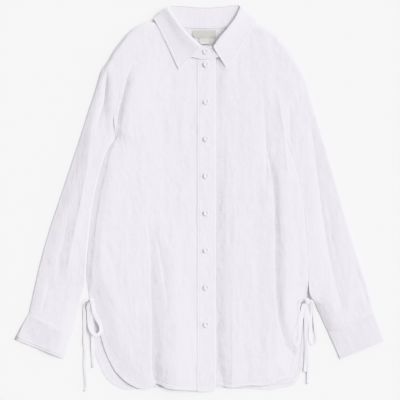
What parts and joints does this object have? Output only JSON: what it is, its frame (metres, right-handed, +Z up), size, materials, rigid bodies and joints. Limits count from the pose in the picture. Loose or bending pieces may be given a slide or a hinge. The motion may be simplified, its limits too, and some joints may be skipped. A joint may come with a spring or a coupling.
{
  "type": "shirt blouse",
  "caption": "Long-sleeved button-front linen shirt blouse laid flat, with a pointed collar, curved side slits and narrow side ties",
  "frame": {"origin": "the middle of the flat underside of the back panel, on the surface that the shirt lies on", "axes": "x across the garment with the wearer's left at +x, y from hem to collar, z up from the surface"},
  "size_m": [0.7432, 0.7731, 0.0264],
  "materials": {
    "linen": "matt washed linen, slightly crumpled",
    "label": "plain woven tape",
    "pearl": "pearly, polished"
  },
  "bodies": {
    "root": {"back": "linen", "front_right": "linen", "front_left": "linen", "placket": "linen", "sleeve_right": "linen", "sleeve_left": "linen", "cuff_right": "linen", "cuff_left": "linen", "collar_stand": "linen", "collar_leaf": "linen", "neck_label": "label", "size_label": "label", "button_01": "pearl", "button_02": "pearl", "button_03": "pearl", "button_04": "pearl", "button_05": "pearl", "button_06": "pearl", "button_07": "pearl", "button_08": "pearl", "button_stand": "pearl", "tie_right_knot": "linen", "tie_right_loop": "linen", "tie_right_tail_front": "linen", "tie_right_tail_back": "linen", "tie_left_knot": "linen", "tie_left_loop_inner": "linen", "tie_left_loop_outer": "linen", "tie_left_tail_long": "linen", "tie_left_tail_short": "linen"}
  },
  "joints": []
}
